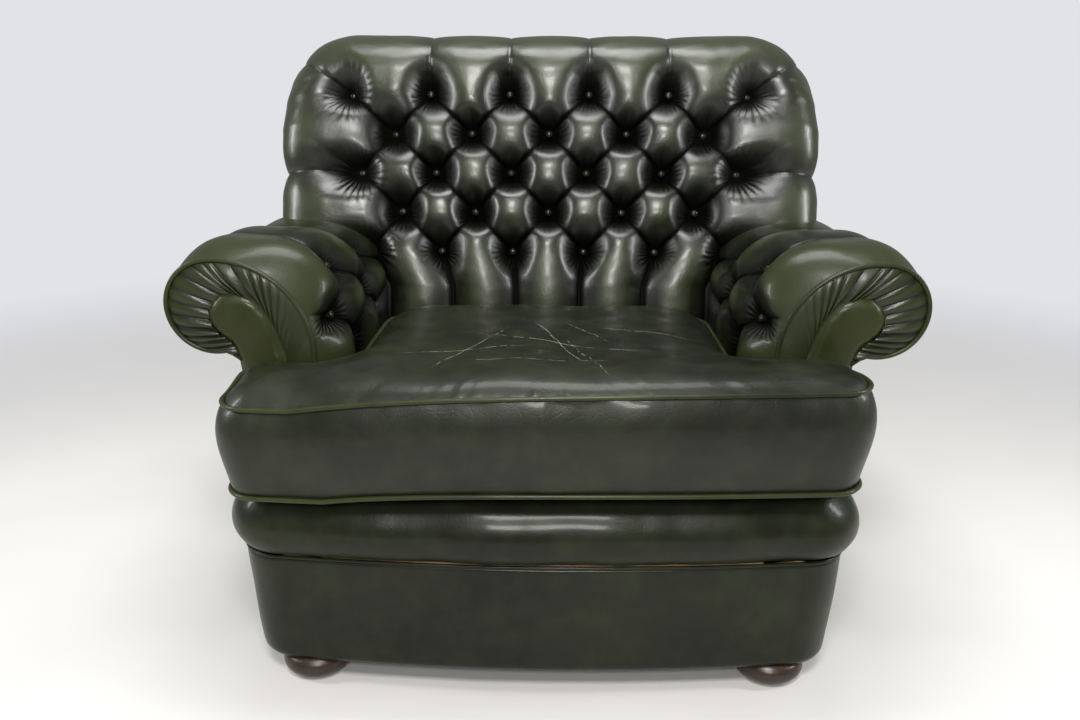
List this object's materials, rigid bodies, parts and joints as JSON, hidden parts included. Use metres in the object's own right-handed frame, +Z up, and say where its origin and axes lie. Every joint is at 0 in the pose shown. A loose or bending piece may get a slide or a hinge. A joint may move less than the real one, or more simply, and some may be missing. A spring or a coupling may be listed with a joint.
{
  "type": "button-tufted scroll-arm armchair",
  "caption": "Deep-buttoned club armchair with rolled scroll arms, rolled leaning back, loose T-shaped seat cushion and short bun feet, for sitting indoors.",
  "frame": {"origin": "on the floor, under the centre of the chair's outer box", "axes": "+X to the right seen from the front, +Y to the back, +Z up; the seat faces -Y"},
  "size_m": [1.133, 0.8801, 0.9512],
  "materials": {
    "green_leather": "semi-gloss, finely grained, dark green antiqued with black",
    "piping_leather": "semi-gloss, a lighter green than the covers",
    "button_leather": "polished dark green",
    "padding": "soft off-white wadding",
    "cushion_foam": "soft open foam",
    "platform_cloth": "matt black woven cloth",
    "hessian": "coarse matt weave",
    "frame_wood": "planed, unfinished",
    "stained_wood": "dark stain, satin lacquer",
    "spring_steel": "dull drawn wire",
    "zip_tape": "matt dark green tape with moulded teeth",
    "zip_brass": "satin"
  },
  "bodies": {
    "chair": {"back_buttons": "button_leather", "back_cover": "green_leather", "back_pad": "padding", "back_seat_rail": "frame_wood", "back_tack_rail": "frame_wood", "back_top_rail": "frame_wood", "back_webbing": "hessian", "border_welt": "piping_leather", "corner_blocks": "frame_wood", "dust_cover": "platform_cloth", "foot_bolts": "spring_steel", "front_border_cover": "green_leather", "front_feet": "stained_wood", "front_seat_rail": "frame_wood", "left_arm_buttons": "button_leather", "left_arm_cover": "green_leather", "left_arm_end_board": "green_leather", "left_arm_facing": "green_leather", "left_arm_pad": "padding", "left_arm_piping": "piping_leather", "left_arm_post": "frame_wood", "left_arm_ruche": "green_leather", "left_arm_tack_rail": "frame_wood", "left_arm_top_rail": "frame_wood", "left_back_post": "frame_wood", "left_front_corner_post": "frame_wood", "left_outside_arm": "green_leather", "left_seat_rail": "frame_wood", "lip_cover": "green_leather", "lip_pad": "padding", "outside_back": "green_leather", "platform_cover": "platform_cloth", "platform_pad": "padding", "rear_feet": "stained_wood", "right_arm_buttons": "button_leather", "right_arm_cover": "green_leather", "right_arm_end_board": "green_leather", "right_arm_facing": "green_leather", "right_arm_pad": "padding", "right_arm_piping": "piping_leather", "right_arm_post": "frame_wood", "right_arm_ruche": "green_leather", "right_arm_tack_rail": "frame_wood", "right_arm_top_rail": "frame_wood", "right_back_post": "frame_wood", "right_front_corner_post": "frame_wood", "right_outside_arm": "green_leather", "right_seat_rail": "frame_wood", "seat_hessian": "hessian", "seat_springs": "spring_steel", "spring_clips": "spring_steel"},
    "seat_cushion": {"cushion_core": "cushion_foam", "cushion_cover": "green_leather", "cushion_top_piping": "piping_leather", "cushion_bottom_piping": "piping_leather", "cushion_zip": "zip_tape"},
    "zip_slider": {"zip_slider": "zip_brass"}
  },
  "joints": [
    {"name": "cushion_lift", "type": "slide", "parent": "chair", "child": "seat_cushion", "axis": [0, 0, 1], "range_m": [0, 0.34]},
    {"name": "zip_run", "type": "slide", "parent": "seat_cushion", "child": "zip_slider", "axis": [1, 0, 0], "range_m": [0, 0.4]}
  ]
}
